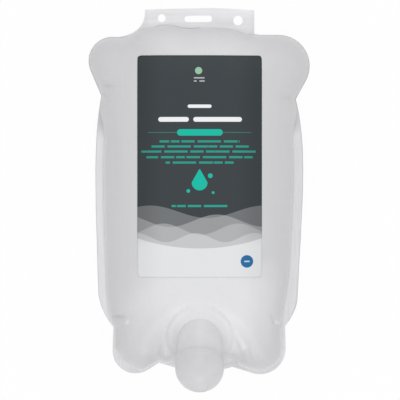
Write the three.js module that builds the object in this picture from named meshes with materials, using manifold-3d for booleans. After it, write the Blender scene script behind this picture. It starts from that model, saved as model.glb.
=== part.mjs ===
// A hand soap refill pack, lying on its back: a filled film pouch with a hanging tab, a label on
// its front, and an angled spout with a domed closure near its lower end.
// Sizes are in millimetres. X runs to the right of the pack seen from its front, Y towards the
// hanging tab, and Z up from the table that the pack lies on.
import * as THREE from "three";
import { mergeVertices } from "three/addons/utils/BufferGeometryUtils.js";
import Module from "manifold-3d";

const wasm = await Module();
wasm.setup();

// Filled pouch: how it lies on the table.
const seamHeight = 25;
const frontRise = 37.5;
const frontShoulder = 60;
const backShoulder = 48;
const backPress = 1.06;

// The mesh of the filled part follows its edge near the rim, and a plain rounded rectangle, the
// core, near the middle. The core's corners take their direction from a stretch of the edge.
const coreWidth = 186;
const coreLength = 302;
const coreSquareness = 5;
const coreStretch = 6;
const edgePull = 4;

// A point's depth inside the edge is its distance from it close by, and levels off further in.
const plainDepth = 3;
const softDepth = 8;
const leastNearness = 1e-9;

// Welded film: the rim round the filled part, and the hanging tab. There is next to no rim over
// the upper lobes and under the tab.
const rim = { left: 6, right: 8, lowerLeft: 6.5, lowerRight: 3, top: 0.8 };
const rimChange = { across: [-20, 20], lower: [-118, -98], upper: [80, 112] };
const weldThickness = 1;
const tabWidth = 99.5;
const tabHeight = 24.6;
const shoulderHeight = 20.6;
const shoulderReach = 23;
const shoulderEase = [1.5, 3.5];

// Holes punched in the tab: two round ones and a slot between them, each with its place across the
// tab and its drop below the tab's top edge.
const leftHole = { x: -34.5, drop: 7.7, diameter: 7 };
const rightHole = { x: 34.9, drop: 10, diameter: 8.5 };
const slot = { x: -1.2, drop: 8.5, diameter: 5.4, length: 25 };

// Corner lobes: each is a round bulge, and the film runs straight from it to a notch, given by its
// angle from the lobe's centre and its reach beyond the bulge. The seal starts on an upper lobe's top.
const lobes = {
  lowerRight: { x: 54.6, y: -133.8, radius: 23.7, from: [214, 6.4], to: [41, 6.9] },
  upperRight: { x: 71.9, y: 122.9, radius: 28.2, from: [-63, 6] },
  upperLeft: { x: -79, y: 127.4, radius: 22, to: [252, 11.5] },
  lowerLeft: { x: -58.2, y: -135.6, radius: 21, from: [134, 8.1], to: [-28, 3.3] },
};

// Long sides: the points that each curve leans towards, and the foot where it turns in.
const sides = {
  right: { corner: [88.5, -100], foot: [89, -88], low: [91.5, -30], high: [100, 50] },
  left: { corner: [-89.5, -102], foot: [-92, -84], low: [-94, -20], high: [-98, 55] },
};
const bottomLean = [0, -160];

// The seal across the top, under the tab, from one upper lobe to the other.
const topSeal = [
  [54, 151.3], [38, 153.8], [10, 158.3], [-11, 157], [-33, 159.4], [-54.6, 153.3], [-70, 149],
];

// Creases of the front film, each deepest at its start: valleys are negative, ridges positive.
const creases = [
  { start: [-87, 103], end: [-64, 102], height: -2.4, width: 3.6 },
  { start: [88, 92], end: [60, 93], height: -2, width: 4 },
  { start: [-60, 151], end: [-48, 138], height: -1.6, width: 3.6 },
  { start: [52, 150], end: [30, 141], height: -1.6, width: 4 },
  { start: [-79, -105], end: [-58, -102], height: -2.8, width: 3.6 },
  { start: [77, -112], end: [60, -104], height: -2.4, width: 3.2 },
  { start: [-36, -147], end: [-42, -130], height: -2.4, width: 3.4 },
  { start: [30, -151], end: [34, -130], height: -2.2, width: 3.6 },
  { start: [38, -130], end: [30, -112], height: 1.6, width: 3.4 },
];
const creaseDepth = 8;

// The tab stands on the top of the upper left lobe.
const tabFoot = lobes.upperLeft.y + lobes.upperLeft.radius;
const tabTop = tabFoot + tabHeight;

// Label.
const labelWidth = 111;
const labelHeight = 198;
const labelBottom = -68;
const labelCorner = 3;
const labelThickness = 0.25;

// Spout: a neck that leans down from a flange welded under the front film. The flange sits below
// the height that the film would swell to without it.
const neckRadius = 20.2;
const neckWall = 1.5;
const neckTilt = 54;
const neckLength = 32;
const neckOffset = 2.4;
const flangeWidth = 8.8;
const flangeThickness = 2;
const flangeTilt = 24;
const flangeY = -119.6;
const flangeSink = 6;
const flangeStep = 1.2;
const flangeBlend = 26;
const filmThickness = 0.6;
const padFlare = 4;
const padDepth = 12;

// Closure on the end of the neck.
const closureWall = 1.1;
const closureSkirt = 8;
const closureLipHeight = 3.4;
const closureLipWidth = 0.5;

const clearance = 0.3;
const curveSteps = 7;
const edgeSteps = 132;
const edgeFineness = 3;
const ringSteps = 10;
const roundSteps = 48;
const domeSteps = 8;
const wellBeyond = 200;

const flangeRadius = neckRadius + flangeWidth;
const closureRadius = neckRadius + clearance + closureWall;
const skirtEdge = neckLength - closureSkirt;

const { clamp, degToRad: radians, lerp, smoothstep } = THREE.MathUtils;

// A closed three.js geometry, placed in space, as a solid.
function solidOf(geometry, matrix = new THREE.Matrix4()) {
  const placed = geometry.clone().applyMatrix4(matrix);
  placed.deleteAttribute("normal");
  placed.deleteAttribute("uv");
  const merged = mergeVertices(placed, 1e-4);
  return new wasm.Manifold(
    new wasm.Mesh({
      numProp: 3,
      vertProperties: merged.attributes.position.array,
      triVerts: new Uint32Array(merged.index.array),
    }),
  );
}

// A solid as a named mesh with its own material.
function meshOf(name, solid, colour, roughness) {
  const { vertProperties, triVerts } = solid.getMesh();
  const geometry = new THREE.BufferGeometry();
  geometry.setAttribute("position", new THREE.BufferAttribute(new Float32Array(vertProperties), 3));
  geometry.setIndex(new THREE.BufferAttribute(new Uint32Array(triVerts), 1));
  geometry.computeVertexNormals();
  const material = new THREE.MeshStandardMaterial({ color: colour, roughness, metalness: 0 });
  const mesh = new THREE.Mesh(geometry, material);
  mesh.name = name;
  return mesh;
}

// A notch beside a lobe.
function notchPoint(lobe, [angle, reach]) {
  const distance = lobe.radius + reach;
  return new THREE.Vector2(
    lobe.x + distance * Math.cos(radians(angle)),
    lobe.y + distance * Math.sin(radians(angle)),
  );
}

// Adds a lobe to the outline: from its notch or its top, round the bulge, and to the next one.
function addLobe(path, lobe) {
  const touchAngle = (notch, side) =>
    notch
      ? radians(notch[0]) + side * Math.acos(lobe.radius / (lobe.radius + notch[1]))
      : Math.PI / 2;
  path.absarc(lobe.x, lobe.y, lobe.radius, touchAngle(lobe.from, 1), touchAngle(lobe.to, -1), false);
  if (lobe.to) {
    const end = notchPoint(lobe, lobe.to);
    path.lineTo(end.x, end.y);
  }
}

// The pouch's outline seen from the front.
function pouchOutline() {
  const path = new THREE.Shape();
  const start = notchPoint(lobes.lowerRight, lobes.lowerRight.from);
  path.moveTo(start.x, start.y);
  addLobe(path, lobes.lowerRight);

  const right = sides.right;
  const rightTop = notchPoint(lobes.upperRight, lobes.upperRight.from);
  path.quadraticCurveTo(...right.corner, ...right.foot);
  path.bezierCurveTo(...right.low, ...right.high, rightTop.x, rightTop.y);
  addLobe(path, lobes.upperRight);

  const sealEnd = [lobes.upperLeft.x, lobes.upperLeft.y + lobes.upperLeft.radius];
  path.splineThru([...topSeal, sealEnd].map(([x, y]) => new THREE.Vector2(x, y)));
  addLobe(path, lobes.upperLeft);

  const left = sides.left;
  const leftEnd = notchPoint(lobes.lowerLeft, lobes.lowerLeft.from);
  path.bezierCurveTo(...left.high, ...left.low, ...left.foot);
  path.quadraticCurveTo(...left.corner, leftEnd.x, leftEnd.y);
  addLobe(path, lobes.lowerLeft);

  path.quadraticCurveTo(...bottomLean, start.x, start.y);
  return path;
}

// Width of the welded rim beside a point of the outline.
function rimWidth({ x, y }) {
  const across = smoothstep(x, ...rimChange.across);
  const side = lerp(rim.left, rim.right, across);
  const lower = lerp(rim.lowerLeft, rim.lowerRight, across);
  const width = lerp(lower, side, smoothstep(y, ...rimChange.lower));
  return lerp(width, rim.top, smoothstep(y, ...rimChange.upper));
}

// The edge of the filled part: the outline in even steps, drawn in by the rim. The outline's last
// point is its first one again, so it is dropped.
function filledEdge() {
  const outline = pouchOutline().getSpacedPoints(edgeSteps * edgeFineness);
  outline.pop();
  return outline.map((point, i) => {
    const run = outline[(i + 1) % outline.length].clone().sub(outline.at(i - 1)).normalize();
    return new THREE.Vector2(-run.y, run.x).multiplyScalar(rimWidth(point)).add(point);
  });
}

// The core's edge, in the mean direction of a stretch of the edge of the filled part.
function coreEdge(edge) {
  return edge.map((_, i) => {
    const point = new THREE.Vector2();
    for (let k = i - coreStretch; k <= i + coreStretch; k += 1) {
      point.add(edge.at(k % edge.length).clone().normalize());
    }
    const across = Math.abs((2 * point.x) / coreWidth) ** coreSquareness;
    const lengthwise = Math.abs((2 * point.y) / coreLength) ** coreSquareness;
    return point.divideScalar((across + lengthwise) ** (1 / coreSquareness));
  });
}

// How deep a point lies inside a closed edge.
function depthInside(point, edge) {
  let nearest = Infinity;
  let nearness = 0;
  edge.forEach((start, i) => {
    const run = edge[(i + 1) % edge.length].clone().sub(start);
    const gap = start.clone().addScaledVector(run, 0.5).sub(point);
    nearness += gap.cross(run) / gap.lengthSq() ** 2;
    const share = clamp(point.clone().sub(start).dot(run) / run.lengthSq(), 0, 1);
    nearest = Math.min(nearest, run.multiplyScalar(share).add(start).distanceTo(point));
  });
  const soft = Math.sqrt(Math.PI / 2 / Math.max(nearness, leastNearness));
  return lerp(nearest, soft, smoothstep(nearest, plainDepth, softDepth));
}

// How far the film has swollen, from 0 at its edge to 1 where it is level.
function swell(share) {
  return Math.sqrt(1 - (1 - Math.min(share, 1)) ** 2);
}

// Height that the creases add at a point: each fades along its length and to both sides.
function creaseHeight(point) {
  return creases.reduce((total, { start, end, height, width }) => {
    const from = new THREE.Vector2(...start);
    const run = new THREE.Vector2(...end).sub(from);
    const share = clamp(point.clone().sub(from).dot(run) / run.lengthSq(), 0, 1);
    const aside = run.clone().multiplyScalar(share).add(from).distanceTo(point);
    return total + height * (1 - share) * Math.exp(-((aside / width) ** 2));
  }, 0);
}

const fineEdge = filledEdge();
const edge = fineEdge.filter((_, i) => i % edgeFineness === 0);
const core = coreEdge(edge);

// The flange sits below the height that the film would swell to over its middle.
const flangeDepth = depthInside(new THREE.Vector2(0, flangeY), fineEdge);
const flangeZ = seamHeight + frontRise * swell(flangeDepth / frontShoulder) - flangeSink;

// Height of the front film: it swells from the edge, and leans with the flange round about it.
function frontHeight(point, depth) {
  const lean = radians(flangeTilt);
  const seat = flangeThickness + clearance + filmThickness - flangeStep;
  const along = (point.y - flangeY) / Math.cos(lean) + seat * Math.tan(lean);
  const reach = Math.hypot(point.x, along);
  const level = flangeZ + (point.y - flangeY) * Math.tan(lean) + seat / Math.cos(lean);
  const creased = creaseHeight(point) * Math.min(1, depth / creaseDepth);
  const swollen = seamHeight + frontRise * swell(depth / frontShoulder) + creased;
  return lerp(level, swollen, smoothstep(reach, flangeRadius, flangeRadius + flangeBlend));
}

// Height of the back film, which the table presses flat.
function backHeight(depth) {
  return seamHeight * Math.max(0, 1 - backPress * swell(depth / backShoulder));
}

// The filled part: a sphere whose equator follows the edge and whose poles are the two films.
function filledBody() {
  const geometry = new THREE.SphereGeometry(1, edge.length, 2 * ringSteps);
  const { position, uv } = geometry.attributes;
  for (let k = 0; k < position.count; k += 1) {
    const i = (Math.round(uv.getX(k) * edge.length) + edge.length) % edge.length;
    const turn = uv.getY(k) * Math.PI;
    const share = Math.min(1, Math.sin(turn));
    const point = core[i].clone().lerp(edge[i], share ** edgePull).multiplyScalar(share);
    const depth = share < 1 ? depthInside(point, fineEdge) : 0;
    const front = turn > Math.PI / 2 && share < 1;
    position.setXYZ(k, point.x, point.y, front ? frontHeight(point, depth) : backHeight(depth));
  }
  return geometry;
}

// A flat outline given a thickness, centred on a height.
function plate(outline, thickness, height) {
  const options = { depth: thickness, bevelEnabled: false, curveSegments: curveSteps };
  const matrix = new THREE.Matrix4().makeTranslation(0, 0, height - thickness / 2);
  return solidOf(new THREE.ExtrudeGeometry(outline, options), matrix);
}

// A bar with round ends that cuts a hole through the tab; a round hole is as long as it is wide.
function punch({ x, drop, diameter, length = diameter }) {
  const y = tabTop - drop;
  const straight = length - diameter;
  const outline = new THREE.Shape();
  outline.absarc(x + straight / 2, y, diameter / 2, -Math.PI / 2, Math.PI / 2, false);
  outline.absarc(x - straight / 2, y, diameter / 2, Math.PI / 2, 1.5 * Math.PI, false);
  return plate(outline, 4 * weldThickness, seamHeight);
}

// The welded film: the rim, and the hanging tab with its sloping left shoulder and its holes.
function weldedFilm() {
  const half = tabWidth / 2;
  const tab = new THREE.Shape();
  tab.moveTo(half, tabTop);
  tab.lineTo(-half, tabTop);
  tab.lineTo(-half, tabFoot + shoulderHeight);
  tab.quadraticCurveTo(
    -half - shoulderEase[0], tabFoot + shoulderEase[1], -half - shoulderReach, tabFoot,
  );
  tab.lineTo(-half - shoulderReach, tabFoot - shoulderHeight);
  tab.lineTo(half, tabFoot - shoulderHeight);

  return plate(pouchOutline(), weldThickness, seamHeight)
    .add(plate(tab, weldThickness, seamHeight))
    .subtract(punch(leftHole))
    .subtract(punch(rightHole))
    .subtract(punch(slot));
}

// A frame tilted forward from the pack's front, whose Z axis leans down by an angle.
function tilted(y, z, tilt) {
  const turn = new THREE.Matrix4().makeRotationX(radians(tilt));
  return new THREE.Matrix4().makeTranslation(0, y, z).multiply(turn);
}
const flangeFrame = tilted(flangeY, flangeZ, flangeTilt);
const neckRoot = new THREE.Vector3(0, -neckOffset, 0).applyMatrix4(flangeFrame);
const neckFrame = tilted(neckRoot.y, neckRoot.z, neckTilt);

// A solid turned about the Z axis of a frame, from a profile of [radius, height] points.
function turned(profile, frame) {
  const points = profile.map(([radius, height]) => new THREE.Vector2(radius, height));
  const upright = new THREE.Matrix4().makeRotationX(Math.PI / 2);
  const lathe = new THREE.LatheGeometry(points, roundSteps);
  return solidOf(lathe, frame.clone().multiply(upright));
}
function disc(radius, low, high, frame) {
  return turned([[0, low], [radius, low], [radius, high], [0, high]], frame);
}

// A round bar along the neck that starts at a height over the flange's underside and ends square,
// or in a dome whose centre lies at the neck's end.
function neckBar(radius, startHeight, end, domed) {
  const dome = domed ? domeProfile(radius, end) : [[radius, end], [0, end]];
  const bar = turned([[0, -wellBeyond], [radius, -wellBeyond], ...dome], neckFrame);
  const above = disc(wellBeyond, startHeight, 2 * wellBeyond, flangeFrame);
  return bar.intersect(above);
}
function domeProfile(radius, centre) {
  return Array.from({ length: domeSteps + 1 }, (_, i) => {
    const turn = (i / domeSteps) * (Math.PI / 2);
    return [radius * Math.cos(turn), centre + radius * Math.sin(turn)];
  });
}

// Spout: flange and neck, with the bore through both.
function makeSpout() {
  return disc(flangeRadius, 0, flangeThickness, flangeFrame)
    .add(neckBar(neckRadius, 0, neckLength, false))
    .subtract(neckBar(neckRadius - neckWall, -2 * flangeThickness, 2 * neckLength, false));
}

// Closure: a domed shell whose skirt, with a lip at its edge, goes over the end of the neck.
function makeClosure() {
  const innerRadius = closureRadius - closureWall;
  const lipRadius = closureRadius + closureLipWidth;
  const lipTop = skirtEdge + closureLipHeight;
  const outside = [
    [0, skirtEdge], [lipRadius, skirtEdge], [lipRadius, lipTop], [closureRadius, lipTop],
    ...domeProfile(closureRadius, neckLength),
  ];
  const inside = [
    [0, -neckLength], [innerRadius, -neckLength],
    ...domeProfile(innerRadius, neckLength + clearance),
  ];
  return turned(outside, neckFrame).subtract(turned(inside, neckFrame));
}

// Pouch and its contents as one solid: the filled body, the welded film, the pad of film over the
// spout's flange, and the soap that stands in the neck.
function makePouch(body) {
  const padTop = flangeThickness + clearance + filmThickness;
  const padRadius = flangeRadius + clearance + filmThickness;
  const padFoot = padTop - padDepth;
  const pad = turned(
    [[0, padFoot], [padRadius + padFlare, padFoot], [padRadius, padTop], [0, padTop]],
    flangeFrame,
  );
  const flangeRoom = disc(
    flangeRadius + clearance, -clearance, flangeThickness + clearance, flangeFrame,
  );
  const neckRoom = neckBar(neckRadius + clearance, -clearance, 2 * neckLength, false);
  const closureRoom = disc(
    closureRadius + closureLipWidth + clearance, skirtEdge - clearance, 2 * neckLength, neckFrame,
  );
  const soap = neckBar(neckRadius - neckWall - clearance, padFoot, neckLength, true);
  return body
    .add(weldedFilm())
    .add(pad)
    .subtract(flangeRoom)
    .subtract(neckRoom)
    .subtract(closureRoom)
    .add(soap);
}

// Label: a thin skin that follows the front film, inside a rectangle with round corners.
function makeLabel(body) {
  const right = labelWidth / 2;
  const top = labelBottom + labelHeight;
  const outline = new THREE.Shape();
  outline.absarc(right - labelCorner, labelBottom + labelCorner, labelCorner, -Math.PI / 2, 0);
  outline.absarc(right - labelCorner, top - labelCorner, labelCorner, 0, Math.PI / 2);
  outline.absarc(labelCorner - right, top - labelCorner, labelCorner, Math.PI / 2, Math.PI);
  outline.absarc(
    labelCorner - right, labelBottom + labelCorner, labelCorner, Math.PI, 1.5 * Math.PI,
  );
  const window = plate(outline, wellBeyond, seamHeight + weldThickness + wellBeyond / 2);
  return body
    .translate(0, 0, clearance + labelThickness)
    .subtract(body.translate(0, 0, clearance))
    .intersect(window);
}

const body = solidOf(filledBody());
const pack = new THREE.Group();
pack.add(
  meshOf("pouch", makePouch(body), 0xd9d9dc, 0.4),
  meshOf("label", makeLabel(body), 0x474d52, 0.45),
  meshOf("spout", makeSpout(), 0xd4d4d6, 0.35),
  meshOf("spout_closure", makeClosure(), 0xd0d0d2, 0.3),
);

// The origin is on the table, under the middle of the pack's length and width.
const extent = new THREE.Box3().setFromObject(pack);
const middle = extent.getCenter(new THREE.Vector3());
pack.position.set(-middle.x, -middle.y, -extent.min.z);

export default pack;
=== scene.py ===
"""Hand soap refill pack: a filled film pouch with a hanging tab, a printed label on its front,
and an angled spout with a domed closure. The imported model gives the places; this script gives
each piece its fine shape and its finish."""
import math

import bmesh
import bpy
import numpy as np
from bpy.props import FloatProperty, FloatVectorProperty, IntProperty, PointerProperty
from mathutils import Matrix, Vector


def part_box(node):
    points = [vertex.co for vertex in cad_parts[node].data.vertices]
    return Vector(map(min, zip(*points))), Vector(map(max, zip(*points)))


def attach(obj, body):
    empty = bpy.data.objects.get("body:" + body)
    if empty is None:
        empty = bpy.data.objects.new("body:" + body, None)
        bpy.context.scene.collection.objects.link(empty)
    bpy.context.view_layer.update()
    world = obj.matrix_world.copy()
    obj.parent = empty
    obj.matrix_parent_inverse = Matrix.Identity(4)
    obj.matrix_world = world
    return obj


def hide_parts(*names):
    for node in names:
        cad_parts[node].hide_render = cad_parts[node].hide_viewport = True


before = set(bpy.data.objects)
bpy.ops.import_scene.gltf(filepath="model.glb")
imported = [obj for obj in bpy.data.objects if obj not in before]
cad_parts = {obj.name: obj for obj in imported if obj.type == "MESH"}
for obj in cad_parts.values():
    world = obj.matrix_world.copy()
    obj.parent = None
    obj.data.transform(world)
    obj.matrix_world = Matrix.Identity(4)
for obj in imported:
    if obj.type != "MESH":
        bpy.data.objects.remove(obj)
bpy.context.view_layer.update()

bl_info = {
    "name": "Soap Refill Pack",
    "version": (1, 0, 0),
    "blender": (4, 5, 0),
    "location": "3D View > Sidebar > Refill Pack",
    "description": "Builds a soap refill pouch, its tab, label, spout and closure, and a studio stage",
    "category": "Add Mesh",
}

MM = 0.001

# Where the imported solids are. The outline below is drawn about the spout's middle line, with
# the tab's top edge at TAB_TOP.
POUCH_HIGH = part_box("pouch")[1]
LABEL_LOW, LABEL_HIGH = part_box("label")
SPOUT_LOW, SPOUT_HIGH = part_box("spout")
TAB_TOP = 174.0
TAB_FOOT = 149.4
ORIGIN = np.array([(SPOUT_LOW.x + SPOUT_HIGH.x) / 2, POUCH_HIGH.y - TAB_TOP * MM])

# Corner lobes, in mm: centre, radius, and the notch on either side as an angle from the centre
# and a reach beyond the bulge.
LOWER_RIGHT = dict(centre=(54.6, -133.8), radius=23.7, first=(214, 6.4), last=(41, 6.9))
UPPER_RIGHT = dict(centre=(71.9, 122.9), radius=28.2, first=(-63, 6.0), last=None)
UPPER_LEFT = dict(centre=(-79.0, 127.4), radius=22.0, first=None, last=(252, 11.5))
LOWER_LEFT = dict(centre=(-58.2, -135.6), radius=21.0, first=(134, 8.1), last=(-28, 3.3))

# Width of the welded rim, in mm, and where it changes across and along the pouch.
RIM = dict(left=7.6, right=9.0, foot=2.6, lower_left=6.5, lower_right=3.0, top=0.8)
RIM_ACROSS, RIM_LOWER, RIM_UPPER = (-20, 20), (-118, -98), (54, 88)
RIM_FOOT = (-98, -60)

# The crescent of rim on the lower left lobe: the way it faces, its least width and what it gains
# at its middle, and the distances from the lobe's centre between which it ends, in mm.
CRESCENT, CRESCENT_LEAST, CRESCENT_GAIN, CRESCENT_END = (-0.64, -0.77), 1.2, 5.6, (30, 38)

# The rim narrows into the notch above that lobe, by a share and within a radius in mm.
NOTCH_SHARE, NOTCH_REACH = 0.85, 17

# The weld is wide between the spout and the lower right lobe: place, gain and radius, in mm.
WIDE_WELD, WIDE_GAIN, WIDE_REACH = (27, -152), 4.5, 6

# A plain rounded rectangle that the mesh follows near the middle, in mm.
CORE_WIDTH, CORE_LENGTH, CORE_SQUARENESS = 186, 302, 5

# Curves between the lobes, in mm.
RIGHT_SIDE = dict(corner=(88.5, -100), foot=(89, -88), low=(91.5, -30), high=(100, 50))
LEFT_SIDE = dict(corner=(-89.5, -102), foot=(-92, -84), low=(-94, -20), high=(-98, 55))
SEAL_LINE = [
    (54, 151.3), (42, 153.2), (29, 157.2), (8, 158.8), (-10, 157.4), (-30, 160.6), (-50, 157.4), (-70, 149)
]
BOTTOM_LEAN = (0, -160)
ROUND_STEPS, CURVE_STEPS = 60, 12

# Rings of the pouch's mesh from its middle to the seam, and rings across its rim by share of width.
FRONT_RINGS, RIM_RINGS = 72, (0.35, 0.7, 1.0)

# Width from which the rim curls in full, and depth at which creases are full, in mm.
CURL_WIDTH, CREASE_DEPTH = 6, 8

# The front film over the flange, in mm: its gap above, the step down at the flange's edge, the
# collar's height and width at the neck, and the width over which it joins the rest of the film.
FLANGE_GAP, FLANGE_STEP, COLLAR_HEIGHT, COLLAR_WIDTH, FLANGE_JOIN = 0.9, 1.2, 1.7, 3.4, 26

# The tab, in mm: half its width, the reach and rise of its left shoulder, where its film starts
# behind the pouch, and its thickness.
TAB_HALF, TAB_REACH, TAB_SHOULDER, TAB_START, TAB_FILM = 49.75, 23, 20.6, 140, 0.45

# Round holes in the tab: place across, drop from the top edge and diameter, in mm. The slot has a
# place across, a drop, a length and a width.
TAB_HOLES = ((-34.5, 7.7, 7.0), (34.9, 10.0, 8.5))
SLOT_ACROSS, SLOT_DROP, SLOT_LENGTH, SLOT_WIDTH = -1.2, 8.5, 25, 5.4
HOLE_SIDES, ROUND_SIDES = 40, 128

# The closure, in mm: the flat seal's radius and depth, how far the lip stands out, and the wall.
SEAL_RADIUS, SEAL_DEPTH, LIP_OUT, CLOSURE_WALL = 8, 0.5, 0.25, 1.3

# The label's mesh, and its gap above the film in mm.
LABEL_COLUMNS, LABEL_ROWS, LABEL_GAP = 64, 110, 0.11


def length_setting(name, millimetres, description):
    """A setting that holds a length."""
    return FloatProperty(name=name, description=description, default=millimetres * MM, unit="LENGTH")


def angle_setting(name, degrees, description):
    """A setting that holds an angle."""
    turned = math.radians(degrees)
    return FloatProperty(name=name, description=description, default=turned, subtype="ANGLE")


def colour_setting(name, default, description):
    """A setting that holds a colour."""
    return FloatVectorProperty(name=name, description=description, default=default, subtype="COLOR")


class PouchSettings(bpy.types.PropertyGroup):
    """Sizes and colours of the filled film pouch."""

    weld: length_setting("Weld", 0.5, "Thickness of the welded rim")
    seam: length_setting("Seam", 25, "Height of the rim above the table")
    rise: length_setting("Rise", 37.5, "Height of the front film above the rim")
    shoulder: length_setting("Shoulder", 60, "Width over which the film swells")
    film: colour_setting("Film", (0.6, 0.6, 0.612), "Film over soap at the sides")
    # Painted light: this paler film colour is mixed in over the middle, round the spout and under the tab,
    # where light falls on the film.
    lit_film: colour_setting("Pale film", (0.76, 0.76, 0.775), "Film over deep soap and the flange")
    weld_colour: colour_setting("Welded film", (0.79, 0.79, 0.803), "Film with no soap behind it")
    around: IntProperty(name="Around", description="Mesh columns round the pouch", default=720)


class SpoutSettings(bpy.types.PropertyGroup):
    """Sizes and colours of the spout and its closure."""

    neck: length_setting("Neck", 20.2, "Radius of the neck")
    wall: length_setting("Wall", 1.5, "Wall of the neck")
    length: length_setting("Length", 32, "Length of the neck along its axis")
    tilt: angle_setting("Tilt", 54, "Lean of the neck")
    offset: length_setting("Offset", 2.4, "From the flange's centre to the neck's")
    flange: length_setting("Flange", 29, "Radius of the flange")
    flange_depth: length_setting("Flange depth", 2, "Thickness of the flange")
    flange_tilt: angle_setting("Flange tilt", 24, "Lean of the flange")
    cap: length_setting("Closure", 21.6, "Radius of the closure")
    skirt: length_setting("Skirt", 8, "Length of the closure's skirt")
    lip: length_setting("Lip", 3.4, "Height of the lip on the skirt")
    plastic: colour_setting("Plastic", (0.64, 0.64, 0.652), "Plastic of the closure")
    neck_plastic: colour_setting("Neck plastic", (0.69, 0.69, 0.702), "Plastic of the neck, paler")


class LabelSettings(bpy.types.PropertyGroup):
    """Sizes and colours of the printed label."""

    corner: length_setting("Corner", 3, "Radius of the corners")
    thickness: length_setting("Thickness", 0.16, "Thickness of the label")
    slate: colour_setting("Slate", (0.042, 0.051, 0.057), "Dark field")
    white: colour_setting("White", (0.76, 0.765, 0.78), "Light field")
    teal: colour_setting("Teal", (0.004, 0.49, 0.37), "Accent")
    blue: colour_setting("Blue", (0.016, 0.145, 0.36), "Round mark")


class StageSettings(bpy.types.PropertyGroup):
    """The table, the lamps and the camera above them."""

    height: FloatProperty(
        name="Camera height", description="Camera above the table", default=1.6, unit="LENGTH"
    )
    lens: FloatProperty(name="Lens", description="Focal length in mm", default=155.8)
    room: FloatProperty(name="Room light", description="Strength of the room's light", default=0.84)
    upper: FloatProperty(name="Upper light", description="Power of the lamp past the tab", default=3.6)
    lower: FloatProperty(name="Lower light", description="Power of the lamp past the spout", default=4.2)


def turn(degrees, radius, centre):
    """A point on a circle, in mm."""
    turned = math.radians(degrees)
    return (centre[0] + radius * math.cos(turned), centre[1] + radius * math.sin(turned))


def lobe_points(lobe):
    """Points round a lobe, in mm, from one notch to the next; without a notch it stops on top."""
    radius = lobe["radius"]
    ends = []
    for side, notch in ((1, lobe["first"]), (-1, lobe["last"])):
        if notch is None:
            ends.append(90)
        else:
            ends.append(notch[0] + side * math.degrees(math.acos(radius / (radius + notch[1]))))
    start, stop = ends
    stop += 360 * math.ceil((start - stop) / 360)
    points = [turn(a, radius, lobe["centre"]) for a in np.linspace(start, stop, ROUND_STEPS)]
    if lobe["first"]:
        points.insert(0, turn(lobe["first"][0], radius + lobe["first"][1], lobe["centre"]))
    if lobe["last"]:
        points.append(turn(lobe["last"][0], radius + lobe["last"][1], lobe["centre"]))
    return points


def bezier(*corners):
    """Points along a curve that leaves its first corner and ends at its last one."""
    t = np.linspace(0, 1, ROUND_STEPS)[:, None]
    points = [np.asarray(c, float) for c in corners]
    while len(points) > 1:
        points = [a * (1 - t) + b * t for a, b in zip(points, points[1:])]
    return [tuple(p) for p in points[0]]


def through(points):
    """A smooth curve through the given points."""
    p = np.array(points, float)
    p = np.vstack([2 * p[0] - p[1], p, 2 * p[-1] - p[-2]])
    t = np.linspace(0, 1, CURVE_STEPS + 1)[:-1, None]
    runs = []
    for a, b, c, d in zip(p, p[1:], p[2:], p[3:]):
        runs.append(
            0.5 * (2 * b + (c - a) * t + (2 * a - 5 * b + 4 * c - d) * t**2 + (3 * b - a - 3 * c + d) * t**3)
        )
    return [tuple(q) for q in np.vstack(runs)] + [tuple(points[-1])]


def film_edge():
    """The film's outer edge, in mm."""
    lower_right, upper_right = lobe_points(LOWER_RIGHT), lobe_points(UPPER_RIGHT)
    upper_left, lower_left = lobe_points(UPPER_LEFT), lobe_points(LOWER_LEFT)
    right, left = RIGHT_SIDE, LEFT_SIDE
    points = lower_right[:-1]
    points += bezier(lower_right[-1], right["corner"], right["foot"])[:-1]
    points += bezier(right["foot"], right["low"], right["high"], upper_right[0])[:-1]
    points += upper_right
    points += through(SEAL_LINE)
    points += upper_left[:-1]
    points += bezier(upper_left[-1], left["high"], left["low"], left["foot"])[:-1]
    points += bezier(left["foot"], left["corner"], lower_left[0])[:-1]
    points += lower_left[:-1]
    points += bezier(lower_left[-1], BOTTOM_LEAN, lower_right[0])
    return np.array(points)


def smooth(low, high, x):
    """0 below low, 1 above high, and a smooth step between."""
    t = np.clip((x - low) / (high - low), 0, 1)
    return t * t * (3 - 2 * t)


def bell(points, centre, radius):
    """1 at a centre, falling away softly round it."""
    return np.exp(-((np.hypot(*(points - centre).T) / radius) ** 2))


def rim_width(points):
    """Width of the welded rim beside points of the outline, in mm."""
    x, y = points.T
    across, up = smooth(*RIM_ACROSS, x), smooth(*RIM_LOWER, y)
    right = RIM["right"] + RIM["foot"] * (1 - smooth(*RIM_FOOT, y))
    side = RIM["left"] + (right - RIM["left"]) * across
    lower = RIM["lower_left"] + (RIM["lower_right"] - RIM["lower_left"]) * across
    width = lower + (side - lower) * up
    width = width + (RIM["top"] - width) * smooth(*RIM_UPPER, y)

    # Round the lower left lobe the rim is a crescent, and it narrows into the notch above it.
    reach = points - LOWER_LEFT["centre"]
    facing = reach @ CRESCENT / np.hypot(*reach.T)
    crescent = CRESCENT_LEAST + CRESCENT_GAIN * smooth(0.5, 0.98, facing)
    near = 1 - smooth(*CRESCENT_END, np.hypot(*reach.T))
    width = width + (crescent - width) * near
    degrees, beyond = LOWER_LEFT["first"]
    notch = turn(degrees, LOWER_LEFT["radius"] + beyond, LOWER_LEFT["centre"])
    width = width * (1 - NOTCH_SHARE * bell(points, notch, NOTCH_REACH))
    return width + WIDE_GAIN * bell(points, WIDE_WELD, WIDE_REACH)


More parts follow.
